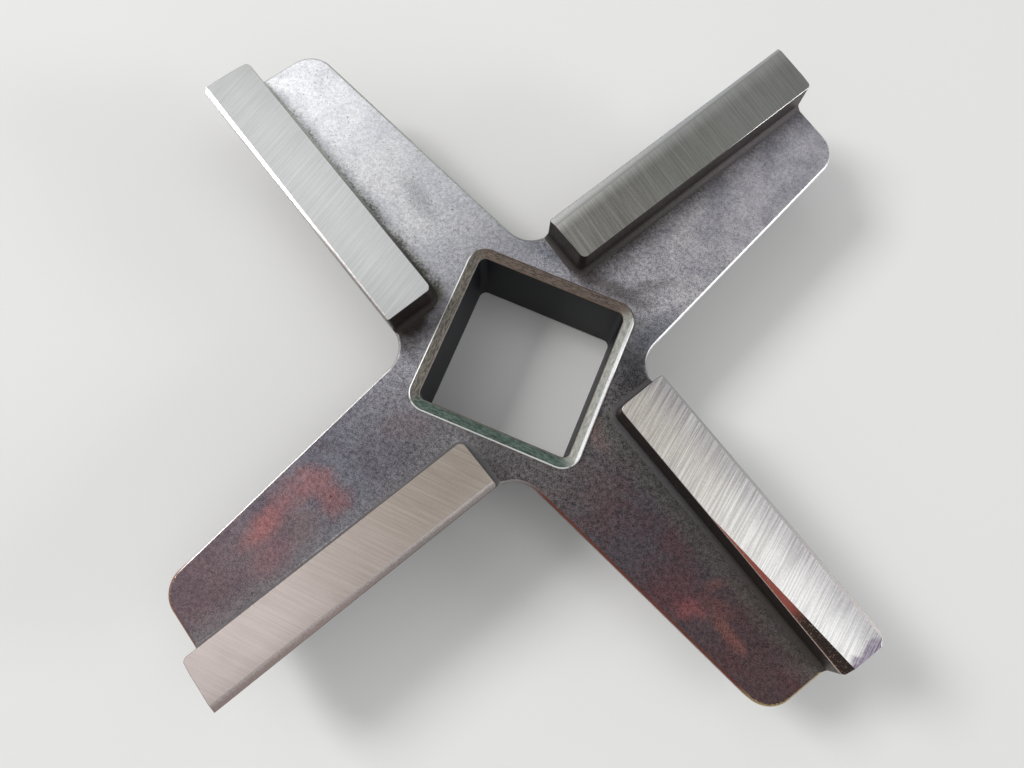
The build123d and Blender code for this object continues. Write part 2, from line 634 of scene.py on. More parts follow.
@dataclass(frozen=True)
class CastSkin:
    """The grainy skin of the webs and the hub, tinted by heat, with painted light and shade on it.

    Attributes:
        hub_painted_lit: its colour on the side of the collar that is painted as lit.
        hub_painted_shade: its colour on the side of the collar that is painted as shaded.
        back: its colour on the back and under the webs.
        back_tint: the tint of the clouds on the back.
        painted_light_side: the direction of that painted lit side from +X, in degrees.
        hub_change: where the hub's colour changes in that direction, in millimetres.
        web_change: where the webs' colour starts, is at its middle and ends, along an arm.
        bar_foot: how far the foot of a bar lies from the arm's middle, in millimetres.
        foot_start: where the painted shade along a bar's foot fades in, along an arm.
        taper_start: where that band starts to taper, along an arm.
        foot_grain: how far single grains shift its edge, in millimetres.
        foot_drift: how far its edge wavers, in millimetres.
        below: the heights between which the back's colour gives way to the top's.
        grain_fade: where the grain fades, along an arm.
        grain_left: the share of it that is left there.
        contrast: how much lighter a light grain is than a dark one.
        pits: how strong the dark specks are.
        stains_and_shade: the soft ovals of colour on it: rust, tint, mottling, one painted shadow and a few
            plain darker and lighter patches.
    """

    hub_painted_lit: Colour = shade(149, 149, 155)
    hub_painted_shade: Colour = shade(92, 88, 89)
    back: Colour = shade(116, 114, 118)
    back_tint: Colour = shade(98, 94, 99)
    painted_light_side: float = 130.0
    hub_change: Pair = (-6.0, 5.0)
    web_change: Point = (5.0, 13.0, 24.0)
    bar_foot: float = 1.9
    foot_start: Pair = (5.6, 6.6)
    taper_start: float = 8.0
    foot_grain: float = 2.2
    foot_drift: float = 0.9
    below: Pair = (5.3, 5.9)
    grain_fade: Pair = (6.0, 20.0)
    grain_left: float = 0.6
    contrast: float = 0.72
    pits: float = 0.6
    stains_and_shade: tuple[StainAndShade, ...] = (
        StainAndShade((-10.3, -15.9), (1.1, 1.9), -20.0, shade(172, 104, 98), 0.5),
        StainAndShade((-9.7, -13.9), (1.7, 1.4), 60.0, shade(148, 96, 95), 0.5),
        StainAndShade((-8.6, -12.3), (2.0, 1.3), 15.0, shade(156, 101, 98), 0.5),
        StainAndShade((-6.9, -12.8), (1.6, 1.1), 80.0, shade(148, 98, 96), 0.45),
        StainAndShade((-9.0, -17.2), (1.8, 1.5), 60.0, shade(146, 102, 104), 0.4),
        StainAndShade((-8.1, -14.8), (1.5, 1.8), 0.0, shade(124, 104, 102), 0.45),
        StainAndShade((14.9, -10.4), (1.2, 0.7), 35.0, shade(150, 88, 88), 0.5),
        StainAndShade((15.7, -10.3), (0.9, 0.6), -20.0, shade(136, 78, 76), 0.45),
        StainAndShade((17.6, -10.8), (1.9, 0.55), -28.0, shade(138, 90, 80), 0.5),
        StainAndShade((16.6, -9.6), (1.6, 0.6), -10.0, shade(110, 70, 68), 0.45),
        StainAndShade((16.0, -8.5), (1.1, 0.5), 40.0, shade(122, 76, 72), 0.4),
        StainAndShade((14.0, -9.8), (2.4, 1.8), 20.0, shade(94, 56, 60), 0.45),
        StainAndShade((6.2, -2.7), (1.6, 0.7), -50.0, shade(116, 86, 78), 0.5),
        # Darker patch right of the collar.
        StainAndShade((6.8, 1.8), (1.7, 4.2), 15.0, shade(48, 48, 50), 0.8),
        # Darker patch left of the collar.
        StainAndShade((-7.5, -2.6), (1.7, 1.4), 20.0, shade(98, 94, 98), 0.5),
        # Painted shadow beside the inner end of a bar.
        StainAndShade((-7.5, -0.8), (3.5, 2.4), 61.5, shade(44, 36, 33), 0.97),
        # Lighter patch right of the collar.
        StainAndShade((7.1, -1.4), (1.2, 2.6), -10.0, shade(124, 118, 118), 0.6),
        # Darker band along the far side of the collar.
        StainAndShade((3.6, 6.4), (3.8, 0.9), 0.0, shade(84, 77, 76), 0.75),
        StainAndShade((5.6, 7.4), (2.4, 0.6), 38.0, shade(106, 102, 106), 0.6),
        StainAndShade((7.6, 7.2), (2.6, 0.6), 48.0, shade(184, 182, 186), 0.5),
        StainAndShade((-1.5, 7.1), (2.2, 0.7), -10.0, shade(112, 116, 126), 0.5),
        StainAndShade((-10.4, 7.2), (2.6, 1.0), -30.0, shade(112, 114, 120), 0.4),
        StainAndShade((3.4, 9.9), (1.6, 0.9), 60.0, shade(96, 84, 84), 0.4),
        StainAndShade((7.2, 4.4), (2.4, 1.3), 60.0, shade(96, 100, 110), 0.5),
        StainAndShade((-5.0, -7.0), (2.4, 1.2), 20.0, shade(104, 84, 90), 0.35),
        StainAndShade((2.4, -8.4), (2.6, 1.2), -20.0, shade(84, 64, 68), 0.35),
    )

    def build(self, groups: Groups) -> Material:
        """Makes the material.

        Args:
            groups: the shared node groups.

        Returns:
            The material.
        """
        surface = new_surface(Finish.CAST.value)
        graph, place = surface.graph, surface.place
        skin = graph.group(groups.grain, Place=place)
        where = graph.group(groups.arm_frame, Place=place)
        colour = self.web_colour(graph, place, where, skin.outputs["Cloud"])
        for spot in self.stains_and_shade:
            colour = graph.mix(spot.mask(graph, place), colour, spot.colour)
        colour = self.paint_foot_shade(graph, place, where, colour)
        height = graph.axes(place)[2]
        behind = graph.span(height, *self.below, to_low=1.0, to_high=0.0, unit=MM)
        plain = graph.mix(skin.outputs["Cloud"], self.back, self.back_tint)
        colour = self.speckle(graph, skin, where, graph.mix(behind, colour, plain))
        roughness = graph.span(skin.outputs["Speckle"], 0.0, 1.0, to_low=0.58, to_high=0.44)
        return surface.dress(colour, skin.outputs["Height"], metallic=0.75, roughness=roughness, depth=0.02,
                             strength=0.6)

    def web_colour(self, graph: Graph, place: Socket, where: Node, cloud: Socket) -> Socket:
        """Makes the slow colour of the hub and the webs, with painted light: the hub lighter on one side of
        the collar and darker on the other.

        Args:
            graph: the material's graph.
            place: the place on the casting.
            where: the arm frame's node.
            cloud: the slow changes from place to place.

        Returns:
            The colour's socket.
        """
        # Painted light: the hub is made lighter towards one side of the collar and darker towards the other.
        painted_light_side = math.radians(self.painted_light_side)
        lit = graph.towards(place, (math.cos(painted_light_side), math.sin(painted_light_side), 0.0))
        slope = graph.span(lit, *self.hub_change, unit=MM)
        colour = graph.mix(slope, self.hub_painted_shade, self.hub_painted_lit)
        start, middle, end = self.web_change
        off_hub = graph.span(where.outputs["Along"], start, middle)
        outwards = graph.span(where.outputs["Along"], middle, end)
        for number, arm in enumerate(ARMS):
            web = graph.mix(outwards, arm.web_middle, arm.web_outer)
            web = graph.mix(graph.sum("MULTIPLY", cloud, arm.tint_strength), web, arm.tint)
            mask = graph.sum("MULTIPLY", where.outputs[f"Arm {number}"], off_hub)
            colour = graph.mix(mask, colour, web)
        return colour

    def paint_foot_shade(self, graph: Graph, place: Socket, where: Node, colour: Socket) -> Socket:
        """Paints shade along the feet of the bars, as a dark, ragged band beside each bar.

        Args:
            graph: the material's graph.
            place: the place on the casting.
            where: the arm frame's node.
            colour: the colour so far.

        Returns:
            The new colour's socket.
        """
        speck = graph.sum("SUBTRACT", graph.noise(place, per_mm=7.0, detail=3.0, rough=0.75), 0.5)
        drift = graph.sum("SUBTRACT", graph.noise(place, per_mm=0.8, detail=2.0), 0.5)
        outwards = graph.sum("SUBTRACT", where.outputs["Along"], self.taper_start)
        wavy = graph.sum("MULTIPLY_ADD", drift, self.foot_drift, where.outputs["Across"])
        grains = graph.sum("MULTIPLY_ADD", speck, self.foot_grain, wavy)
        beside = graph.span(where.outputs["Along"], *self.foot_start)
        for number, arm in enumerate(ARMS):
            reach = graph.sum("MULTIPLY_ADD", outwards, -arm.foot_taper, grains)
            middle = self.bar_foot - arm.foot_width
            start, end = middle - arm.foot_soft, middle + arm.foot_soft
            # Painted shade: a dark band along the foot of each bar.
            band = graph.span(reach, start, end, to_high=arm.foot_strength)
            mask = graph.sum("MULTIPLY", graph.sum("MULTIPLY", band, beside), where.outputs[f"Arm {number}"])
            colour = graph.mix(mask, colour, arm.foot)
        return colour

    def speckle(self, graph: Graph, skin: Node, where: Node, colour: Socket) -> Socket:
        """Adds the dark and light grains, which are strongest near the hub.

        Args:
            graph: the material's graph.
            skin: the grain's node.
            where: the arm frame's node.
            colour: the colour so far.

        Returns:
            The speckled colour's socket.
        """
        grain: object = 0.0
        for number, arm in enumerate(ARMS):
            grain = graph.sum("MULTIPLY_ADD", where.outputs[f"Arm {number}"], arm.grain, grain)
        faded = graph.span(where.outputs["Along"], *self.grain_fade, to_low=1.0, to_high=self.grain_left)
        strength = graph.sum("MULTIPLY", faded, grain)
        relief = graph.sum("MULTIPLY_ADD", skin.outputs["Speckle"], self.contrast, -self.contrast / 2)
        colour = graph.mix(1.0, colour, graph.sum("MULTIPLY_ADD", relief, strength, 1.0), "MULTIPLY")
        return graph.mix(graph.sum("MULTIPLY", skin.outputs["Pits"], self.pits), colour, PIT)


@dataclass(frozen=True)
class WebEdge:
    """The rounded outline of the webs, with each arm's own colour at its top: a painted highlight on the
    light ones, a heat tint on the red and copper ones.

    Attributes:
        hub: its colour near the hub.
        wall: its colour lower down.
        start: where an arm's colour starts, in millimetres along it.
        change: where the colour of its outer end comes in, along it.
        low: the heights between which the wall's colour gives way to the arm's colour.
    """

    hub: Colour = shade(170, 166, 164)
    wall: Colour = shade(118, 113, 111)
    start: Pair = (5.5, 8.0)
    change: Pair = (23.0, 24.8)
    low: Pair = (6.1, 6.5)

    def build(self, groups: Groups) -> Material:
        """Makes the material.

        Args:
            groups: the shared node groups.

        Returns:
            The material.
        """
        surface = new_surface(Finish.WEB_EDGE.value)
        graph = surface.graph
        skin = graph.group(groups.grain, Place=surface.place)
        where = graph.group(groups.arm_frame, Place=surface.place)
        outwards = graph.span(where.outputs["Along"], *self.change)
        off_hub = graph.span(where.outputs["Along"], *self.start)
        colour: object = self.hub
        # Painted highlight: the light arm colours stand for the glint along the top of the webs' edges; the
        # red and copper ones are heat tint.
        for number, arm in enumerate(ARMS):
            edge = graph.mix(outwards, arm.edge, arm.edge_outer)
            mask = graph.sum("MULTIPLY", where.outputs[f"Arm {number}"], off_hub)
            colour = graph.mix(mask, colour, edge)
        height = graph.axes(surface.place)[2]
        below = graph.span(height, *self.low, to_low=0.85, to_high=0.0, unit=MM)
        colour = graph.grained(graph.mix(below, colour, self.wall), skin.outputs["Speckle"], share=0.3)
        return surface.dress(colour, skin.outputs["Height"], metallic=0.75, roughness=0.42, depth=0.01,
                             strength=0.4)


@dataclass(frozen=True)
class GroundSteel:
    """The ground top of one cutting bar, with fine lines across it.

    Attributes:
        number: the arm's number.
        change: where its colour changes, in millimetres along the arm.
        lead_end: where its colour along the leading side is full, in millimetres across the arm.
        cloud: how strong its slow clouds are.
        tip: the tint at the outer end of the bar with the low side.
        tip_start: where that tint starts and is full, along the arm.
        tip_wobble: how far its edge wavers, in millimetres.
        tip_strength: how much of it shows.
    """

    number: int
    change: Pair = (6.0, 27.0)
    lead_end: float = 5.3
    cloud: float = 0.15
    tip: Colour = shade(98, 80, 108)
    tip_start: Pair = (26.15, 26.7)
    tip_wobble: float = 1.6
    tip_strength: float = 0.88

    def build(self, groups: Groups) -> Material:
        """Makes the material.

        Args:
            groups: the shared node groups.

        Returns:
            The material.
        """
        arm = ARMS[self.number]
        surface = new_surface(f"{Finish.GROUND.value}_{self.number}")
        graph, place = surface.graph, surface.place
        marks = graph.group(groups.lines, Place=graph.mapped(place, -arm.turn - arm.line_turn))
        where = graph.group(groups.arm_frame, Place=place)
        colour = graph.mix(graph.span(where.outputs["Along"], *self.change), arm.ground_inner, arm.ground)
        cloud = graph.span(graph.noise(place, per_mm=0.3, detail=2.0), 0.35, 0.65)
        colour = graph.mix(graph.sum("MULTIPLY", cloud, self.cloud), colour, arm.ground_inner)
        lead = graph.span(where.outputs["Across"], arm.lead_start, self.lead_end, to_high=arm.lead_strength)
        colour = graph.mix(lead, colour, arm.ground_lead)
        if self.number == LOW_ARM:
            wobble = graph.noise(place, per_mm=1.6, detail=4.0)
            ragged = graph.sum("MULTIPLY_ADD", wobble, self.tip_wobble, where.outputs["Along"])
            worn = graph.span(ragged, *self.tip_start, to_high=self.tip_strength)
            colour = graph.mix(worn, colour, self.tip)
        dark = graph.mix(arm.contrast, colour, BLACK)
        light = graph.mix(arm.contrast * 0.7, colour, WHITE)
        colour = graph.mix(marks.outputs["Lines"], dark, light)
        bright = graph.sum("MULTIPLY", marks.outputs["Scratch"], arm.contrast)
        colour = graph.mix(bright, colour, WHITE)
        return surface.dress(colour, marks.outputs["Height"], metallic=1.0, roughness=0.34, depth=0.006)


@dataclass(frozen=True)
class LowSide:
    """The low facet that the grinding missed, red inside and near black outside.

    Attributes:
        inner: its colour towards the hub.
        outer: its colour towards the outer end.
        specks: the colour of its light grains.
        ridge: the colour of its outer ridge.
        change: where it changes, in millimetres along the arm.
        ridge_end: where the ridge's colour fades out, in millimetres across the arm.
    """

    inner: Colour = shade(150, 82, 72)
    outer: Colour = shade(48, 38, 34)
    specks: Colour = shade(190, 160, 140)
    ridge: Colour = shade(190, 132, 108)
    change: Pair = (21.0, 22.6)
    ridge_end: Pair = (2.12, 2.17)

    def build(self, groups: Groups) -> Material:
        """Makes the material.

        Args:
            groups: the shared node groups.

        Returns:
            The material.
        """
        surface = new_surface(Finish.LOW_SIDE.value)
        graph = surface.graph
        skin = graph.group(groups.grain, Place=surface.place)
        where = graph.group(groups.arm_frame, Place=surface.place)
        colour = graph.mix(graph.span(where.outputs["Along"], *self.change), self.inner, self.outer)
        speck = graph.span(skin.outputs["Speckle"], 0.8, 1.0, to_high=0.4)
        colour = graph.mix(speck, colour, self.specks)
        ridge = graph.span(where.outputs["Across"], *self.ridge_end, to_low=0.8, to_high=0.0)
        colour = graph.mix(ridge, colour, self.ridge)
        return surface.dress(colour, skin.outputs["Height"], metallic=0.7, roughness=0.4, depth=0.012)


@dataclass(frozen=True)
class Rim:
    """The top of the collar, which differs from side to side, partly as painted light, with a painted
    highlight along its outer edge on the +X side.

    Attributes:
        sides: its colour on the +X, +Y, -X and -Y sides, lighter or darker partly as painted light.
        lip_glint: the colour of the painted highlight along its outer edge on the +X side.
        half: where a side's colour is full, in millimetres from the axis.
        mitre: how far the sides blend at the corners, in millimetres.
        streaks: how many streaks there are in a millimetre, across and along them.
        contrast: how much darker they are towards -X and towards +X.
        contrast_change: where that changes, in millimetres towards +X.
        lip_glint_start: where the highlight starts, in millimetres towards +X.
        lip_glint_end: where it starts and ends to fade, in millimetres towards +Y.
        pits: how strong the dark specks are.
    """

    sides: tuple[Colour, ...] = (
        shade(194, 194, 186),
        shade(124, 111, 102),
        shade(123, 118, 110),
        shade(98, 115, 107),
    )
    lip_glint: Colour = WHITE
    half: float = 4.0
    mitre: float = 0.8
    streaks: Pair = (16.0, 3.4)
    contrast: Pair = (0.64, 0.42)
    contrast_change: Pair = (4.0, 5.0)
    lip_glint_start: Pair = (5.46, 5.56)
    lip_glint_end: Pair = (2.6, 4.2)
    pits: float = 0.6

    def build(self, groups: Groups) -> Material:
        """Makes the material.

        Args:
            groups: the shared node groups.

        Returns:
            The material.
        """
        surface = new_surface(Finish.RIM.value)
        graph, place = surface.graph, surface.place
        skin = graph.group(groups.grain, Place=place)
        x, y, _ = graph.axes(place)
        right = graph.span(x, -self.half, self.half, unit=MM)
        far = graph.span(y, -self.half, self.half, unit=MM)
        lead = graph.sum("SUBTRACT", graph.sum("ABSOLUTE", y), graph.sum("ABSOLUTE", x))
        upright = graph.span(lead, -self.mitre, self.mitre, unit=MM)
        along_x = graph.mix(right, self.sides[2], self.sides[0])
        along_y = graph.mix(far, self.sides[3], self.sides[1])
        colour = graph.mix(upright, along_x, along_y)
        fine, coarse = self.streaks
        across_x = graph.noise(place, (fine, coarse, coarse), detail=3.0, rough=0.7)
        across_y = graph.noise(place, (coarse, fine, coarse), detail=3.0, rough=0.7)
        streaks = graph.span(graph.mix(upright, across_x, across_y), *GRAINS)
        contrast = graph.span(x, *self.contrast_change, *self.contrast, unit=MM)
        colour = graph.grained(colour, streaks, contrast)
        # Painted highlight: a white line along the rim's outer edge on the +X side.
        outside = graph.span(x, *self.lip_glint_start, unit=MM)
        near = graph.span(y, *self.lip_glint_end, to_low=1.0, to_high=0.4, unit=MM)
        colour = graph.mix(graph.sum("MULTIPLY", outside, near), colour, self.lip_glint)
        colour = graph.mix(graph.sum("MULTIPLY", skin.outputs["Pits"], self.pits), colour, PIT)
        return surface.dress(colour, skin.outputs["Height"], metallic=0.85, roughness=0.4, depth=0.015)


@dataclass(frozen=True)
class RimEdge:
    """The worn edges of the collar's rim: the outer edge is given a painted highlight, and the inner one is
    dull.

    Attributes:
        bright: the colour of the outer edge, a painted highlight.
        dim: the colour of the inner edge.
        far: the colour of both edges on the +Y side.
        change: where the inner edge gives way to the outer, in millimetres from the axis.
        far_change: where the +Y side's colour starts, in millimetres towards it.
    """

    bright: Colour = shade(255, 255, 253)
    dim: Colour = shade(120, 114, 104)
    far: Colour = shade(104, 88, 76)
    change: Pair = (5.3, 5.5)
    far_change: Pair = (4.6, 5.2)

    def build(self, groups: Groups) -> Material:
        """Makes the material.

        Args:
            groups: the shared node groups.

        Returns:
            The material.
        """
        surface = new_surface(Finish.RIM_EDGE.value)
        graph = surface.graph
        skin = graph.group(groups.grain, Place=surface.place)
        x, y, _ = graph.axes(surface.place)
        reach = graph.sum("MAXIMUM", graph.sum("ABSOLUTE", x), graph.sum("ABSOLUTE", y))
        outer = graph.span(reach, *self.change, unit=MM)
        far = graph.span(y, *self.far_change, unit=MM)
        # Painted highlight on the rim's outer edge.
        colour = graph.mix(far, graph.mix(outer, self.dim, self.bright), self.far)
        colour = graph.grained(colour, skin.outputs["Speckle"], share=0.2)
        return surface.dress(colour, skin.outputs["Height"], metallic=0.35, roughness=0.4, depth=0.01)


@dataclass(frozen=True)
class ArmSteel:
    """A narrow surface of the bars, whose colour changes along each arm.

    Attributes:
        name: the material's name.
        colours: for each arm, its colour towards the hub and towards the outer end.
        change: where it changes, in millimetres along the arm.
        roughness: how dull it is.
        metallic: how much of a metal it is.
    """

    name: str
    colours: tuple[tuple[Colour, Colour], ...]
    change: Pair
    roughness: float = 0.36
    metallic: float = 0.95

    def build(self, groups: Groups) -> Material:
        """Makes the material.

        Args:
            groups: the shared node groups.

        Returns:
            The material.
        """
        surface = new_surface(self.name)
        graph = surface.graph
        where = graph.group(groups.arm_frame, Place=surface.place)
        outwards = graph.span(where.outputs["Along"], *self.change)
        colour: object = self.colours[0][0]
        for number, (inner, outer) in enumerate(self.colours):
            colour = graph.mix(where.outputs[f"Arm {number}"], colour, graph.mix(outwards, inner, outer))
        grains = graph.noise(surface.place, per_mm=8.0, detail=3.0, rough=0.6)
        colour = graph.grained(colour, graph.span(grains, *GRAINS), share=0.25)
        return surface.dress(colour, grains, self.metallic, self.roughness, depth=0.008)


@dataclass(frozen=True)
class EdgeStrip:
    """The strip along one cutting edge that the grinding missed, its colour partly a painted reflection.

    Attributes:
        number: the arm's number.
        lead: how far the cutting edge lies from the arm's middle, in millimetres.
        ends: where the strip starts and ends along the arm, in millimetres.
        change: where its colour changes along the arm, in millimetres.
        foot_change: where its foot's colour comes in, as shares of its width.
    """

    number: int
    lead: float = 5.5
    ends: Pair = (6.45, 26.36)
    change: Pair = (11.0, 19.0)
    foot_change: Pair = (0.6, 1.3)

    def build(self, groups: Groups) -> Material:
        """Makes the material.

        Args:
            groups: the shared node groups.

        Returns:
            The material.
        """
        arm = ARMS[self.number]
        surface = new_surface(f"{Finish.STRIP.value}_{self.number}")
        graph = surface.graph
        where = graph.group(groups.arm_frame, Place=surface.place)
        inner_width, outer_width = arm.strip_widths
        widen = (outer_width - inner_width) / (self.ends[1] - self.ends[0])
        offset = inner_width - widen * self.ends[0]
        width = graph.sum("MULTIPLY_ADD", where.outputs["Along"], widen, offset)
        inwards = graph.sum("SUBTRACT", self.lead, where.outputs["Across"])
        grains = graph.noise(surface.place, per_mm=9.0, detail=3.0, rough=0.65)
        wavy = graph.sum("MULTIPLY_ADD", grains, 0.5, graph.sum("DIVIDE", inwards, width))
        colour = graph.mix(graph.span(where.outputs["Along"], *self.change), arm.strip_inner, arm.strip)
        colour = graph.mix(graph.span(wavy, *self.foot_change), colour, arm.strip_foot)
        colour = graph.grained(colour, graph.span(grains, *GRAINS), share=0.14)
        return surface.dress(colour, grains, metallic=0.95, roughness=0.4, depth=0.006)


@dataclass(frozen=True)
class PlainSteel:
    """A small surface of bare or dark steel.

    Attributes:
        name: the material's name.
        colour: its colour.
        second: the colour of its other grains.
        roughness: how dull it is.
        metallic: how much of a metal it is.
        per_mm: how many grains it has in a millimetre.
        depth: how deep its relief is, in millimetres.
        shine: its specular level.
    """

    name: str
    colour: Colour
    second: Colour
    roughness: float
    metallic: float = 0.9
    per_mm: float = 7.0
    depth: float = 0.012
    shine: float = 0.5

    def build(self) -> Material:
        """Makes the material.

        Returns:
            The material.
        """
        surface = new_surface(self.name)
        graph = surface.graph
        grains = graph.noise(surface.place, self.per_mm, detail=3.0, rough=0.6)
        colour = graph.mix(graph.span(grains, *GRAINS), self.colour, self.second)
        surface.shader.inputs["Specular IOR Level"].default_value = self.shine
        return surface.dress(colour, grains, self.metallic, self.roughness, self.depth)


@dataclass
class KnifeCasting:
    """The dressed casting, made from a copy of the CAD solid's mesh.

    Attributes:
        ground_height: the height of the ground faces.
        web_top: the height of the webs' top.
        rim_height: the height of the collar's rim.
        collar_half: half the collar's width over its flats.
        bore_half: half the bore's width over its flats.
        hub_half: half the width of the square that the hub takes.
        bar_lead: how far the bars lie ahead of their arms, in degrees.
        foot_top: how far above the rim the plain sides of the bars start.
        strip_drop: how far under the ground faces the middle of a strip or the low side may lie.
        strip_area: the smallest area of a strip or the low side, in square millimetres.
        low_side_reach: how far across its arm the middle of the low side may lie.
        edge_drop: how far the edges of the webs reach down from their top.
        slack: how far a face may lie off its plane.
        merge_step: how far apart the corners of the loose triangles may lie.
        flat_turn: the largest turn between the parts of one flat face, in degrees.
        corner_floor: how far above the rim the corners of the bars start.
        corner_turn: the smallest turn of a sharp corner, in degrees.
        corner_step: the length up to which the slivers along the corners are merged.
        corner_bevel: how wide the worn corners of the bars are.
        smooth_turn: the largest turn that is smoothed, in degrees.
        level: the least Z of the normal of a ground face.
        rim_level: that of the rim's top.
        web_level: that of the webs' flats.
        strip_level: that of a strip or the low side.
        corner_level: that of a worn corner.
        bore_level: the largest Z of the normal of a bore wall.
        upright: that of a bar's side.
        facing: the least share of a leading side's normal that points to that side.
        slots: the number of each material, by its name.
    """

    ground_height: float = 8.9
    web_top: float = 6.7
    rim_height: float = 6.9
    collar_half: float = 5.75
    bore_half: float = 5.0
    hub_half: float = 6.0
    bar_lead: float = 12.0
    foot_top: float = 0.4
    strip_drop: float = 0.9
    strip_area: float = 1.5
    low_side_reach: float = 3.6
    edge_drop: float = 1.6
    slack: float = 0.01
    merge_step: float = 0.0005
    flat_turn: float = 0.4
    corner_floor: float = 0.6
    corner_turn: float = 40.0
    corner_step: float = 0.06
    corner_bevel: float = 0.045
    smooth_turn: float = 35.0
    level: float = 0.999
    rim_level: float = 0.99
    web_level: float = 0.97
    strip_level: float = 0.85
    corner_level: float = 0.2
    bore_level: float = 0.6
    upright: float = 0.1
    facing: float = 0.8
    slots: dict[str, int] = field(default_factory=dict)

    def build(self, finishes: list[Material]) -> bpy.types.Object:
        """Makes the piece, bevels its corners and gives each face its finish.

        Args:
            finishes: the materials, with the bars' corners' first.

        Returns:
            The piece.
        """
        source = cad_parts["knife"]
        mesh = source.data.copy()
        mesh.materials.clear()
        piece = bpy.data.objects.new("knife_casting", mesh)
        bpy.context.scene.collection.objects.link(piece)
        for number, material in enumerate(finishes):
            mesh.materials.append(material)
            self.slots[material.name] = number
        bpy.ops.object.select_all(action="DESELECT")
        piece.select_set(True)
        bpy.context.view_layer.objects.active = piece
        self.merge()
        self.bevel_corners(piece)
        self.assign(piece)
        self.smooth(piece)
        return piece

    def merge(self) -> None:
        """Merges the active mesh's loose triangles into closed faces."""
        bpy.ops.object.mode_set(mode="EDIT")
        bpy.ops.mesh.select_all(action="SELECT")
        bpy.ops.mesh.remove_doubles(threshold=self.merge_step * MM)
        bpy.ops.mesh.dissolve_limited(angle_limit=math.radians(self.flat_turn))
        bpy.ops.mesh.select_all(action="DESELECT")
        bpy.ops.object.mode_set(mode="OBJECT")

    def bevel_corners(self, piece: bpy.types.Object) -> None:
        """Bevels the sharp edges at the top of the bars, whose colour carries painted highlights.

        The slivers along them are merged first, because they would narrow the bevel.

        Args:
            piece: the piece, in object mode.
        """
        floor = (self.rim_height + self.corner_floor) * MM
        bpy.ops.object.mode_set(mode="EDIT")
        work = bmesh.from_edit_mesh(piece.data)
        for vertex in work.verts:
            vertex.select_set(vertex.co.z > floor)
        work.select_flush_mode()
        bmesh.update_edit_mesh(piece.data)
        bpy.ops.mesh.remove_doubles(threshold=self.corner_step * MM)
        bpy.ops.mesh.select_mode(type="EDGE")
        bpy.ops.mesh.select_all(action="DESELECT")
        work = bmesh.from_edit_mesh(piece.data)
        for edge in work.edges:
            high = min(vertex.co.z for vertex in edge.verts) > floor
            if high and edge.calc_face_angle(0.0) > math.radians(self.corner_turn):
                edge.select_set(True)
        work.select_flush_mode()
        bmesh.update_edit_mesh(piece.data)
        bpy.ops.mesh.bevel(offset=self.corner_bevel * MM, offset_type="WIDTH", segments=2, affect="EDGES",
                           clamp_overlap=False, material=0)
        bpy.ops.mesh.select_all(action="DESELECT")
        bpy.ops.object.mode_set(mode="OBJECT")
        for vertex in piece.data.vertices:
            vertex.co.z = min(vertex.co.z, self.ground_height * MM)

    def assign(self, piece: bpy.types.Object) -> None:
        """Gives each face the finish of its place.

        Args:
            piece: the piece, in object mode.
        """
        for polygon in piece.data.polygons:
            name = self.finish_at(polygon.center / MM, polygon.normal, polygon.area / MM**2)
            polygon.material_index = self.slots[name]

    def finish_at(self, centre: Vector, normal: Vector, area: float) -> str:
        """Finds the finish of a face.

        Args:
            centre: the face's centre, in millimetres.
            normal: its normal.
            area: its area, in square millimetres.

        Returns:
            The name of its material.
        """
        turn = math.degrees(math.atan2(centre.y, centre.x)) - self.bar_lead
        arm = min(range(len(ARMS)), key=lambda number: abs((turn - ARMS[number].turn + 180) % 360 - 180))
        way = math.radians(ARMS[arm].turn)
        sideways = Vector((-math.sin(way), math.cos(way), 0.0))
        inside = max(abs(centre.x), abs(centre.y))
        if inside < self.bore_half + 2 * self.slack and abs(normal.z) < self.bore_level:
            return Finish.BORE.value
        if inside < self.collar_half and centre.z > self.web_top + self.slack:
            return Finish.RIM.value if normal.z > self.rim_level else Finish.RIM_EDGE.value
        if self.is_ground(centre, normal):
            return f"{Finish.GROUND.value}_{arm}"
        high = centre.z > self.ground_height - self.strip_drop
        if high and normal.z > self.strip_level and area > self.strip_area:
            low = centre.dot(sideways) < self.low_side_reach
            return Finish.LOW_SIDE.value if low else f"{Finish.STRIP.value}_{arm}"
        leading = normal.dot(sideways) > self.facing and abs(normal.z) < self.upright
        if leading and inside > self.hub_half:
            return Finish.LEAD_SIDE.value
        if centre.z > self.rim_height + self.foot_top:
            return Finish.CORNER.value if normal.z > self.corner_level else Finish.BAR_SIDE.value
        if centre.z > self.web_top + self.slack:
            return Finish.BAR_SIDE.value if normal.z < self.upright else Finish.FOOT.value
        depth = self.web_top - centre.z
        rounded = self.slack < depth < self.edge_drop and normal.z < self.web_level
        if rounded and inside > self.hub_half:
            return Finish.WEB_EDGE.value
        return Finish.CAST.value

    def is_ground(self, centre: Vector, normal: Vector) -> bool:
        """Tells whether a face lies in the ground plane.

        Args:
            centre: the face's centre, in millimetres.
            normal: its normal.

        Returns:
            True on the ground faces.
        """
        return centre.z > self.ground_height - self.slack and normal.z > self.level

    def smooth(self, piece: bpy.types.Object) -> None:
        """Smooths the rounded edges, and keeps the ground faces and the flats flat.

        Args:
            piece: the piece, in object mode.
        """
        bpy.ops.object.shade_smooth_by_angle(angle=math.radians(self.smooth_turn))
        for polygon in piece.data.polygons:
            if self.is_ground(polygon.center / MM, polygon.normal):
                polygon.use_smooth = False
        weighted = piece.modifiers.new("flats", "WEIGHTED_NORMAL")
        weighted.mode = "FACE_AREA"
        weighted.weight = 80
        weighted.keep_sharp = True
        bpy.ops.object.modifier_apply(modifier=weighted.name)


